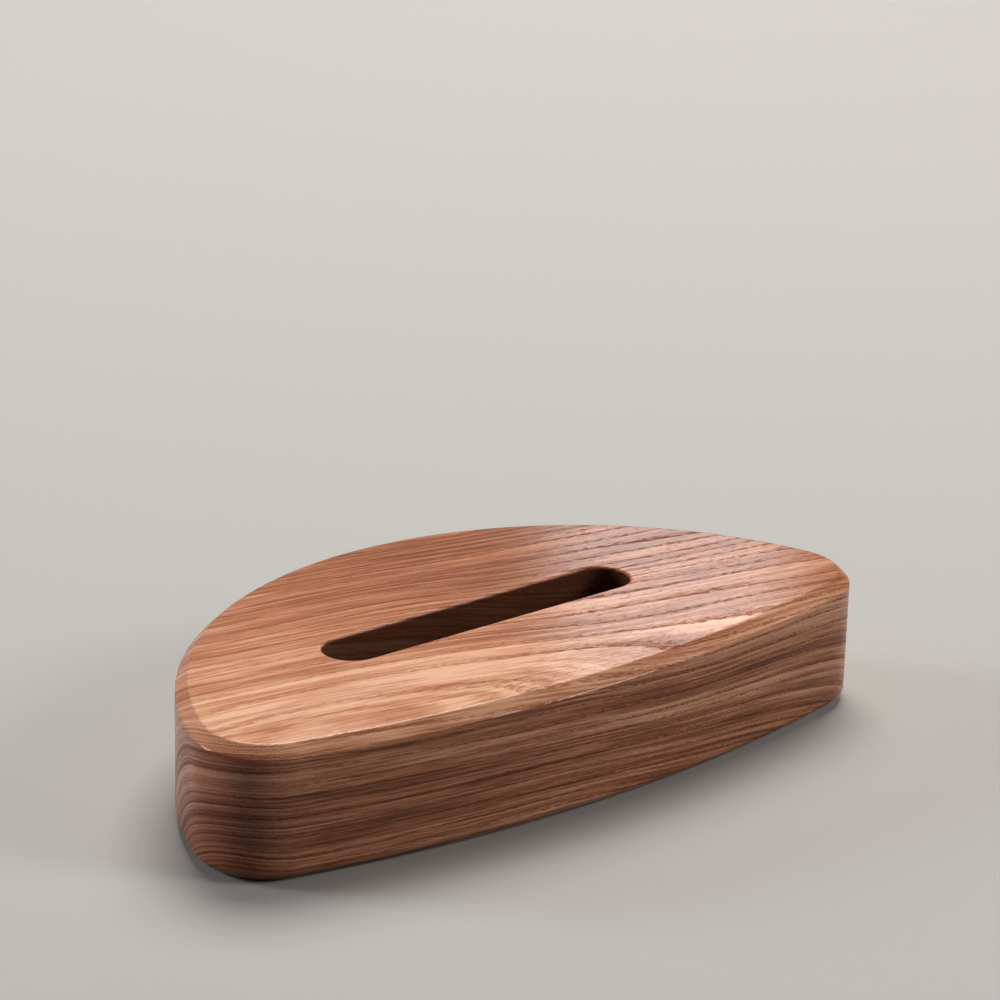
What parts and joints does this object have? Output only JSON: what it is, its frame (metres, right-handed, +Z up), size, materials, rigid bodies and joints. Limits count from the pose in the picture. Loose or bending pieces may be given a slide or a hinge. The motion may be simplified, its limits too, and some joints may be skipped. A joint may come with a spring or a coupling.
{
  "type": "phone stand",
  "caption": "Solid wood half-moon phone stand with chamfered edges, an upright stadium slot and anti-slip pads set into its underside.",
  "frame": {"origin": "on the resting plane, under the middle of the block's length and depth", "axes": "+X along the block's length, to the right seen from the front; the bowed front faces -Y; +Z up"},
  "size_m": [0.2, 0.104, 0.035],
  "materials": {
    "varnished_wood": "satin varnish",
    "pad_rubber": "matte"
  },
  "bodies": {
    "root": {"wood_block": "varnished_wood", "pad_front_left": "pad_rubber", "pad_front_right": "pad_rubber", "pad_back_left": "pad_rubber", "pad_back_right": "pad_rubber"}
  },
  "joints": []
}
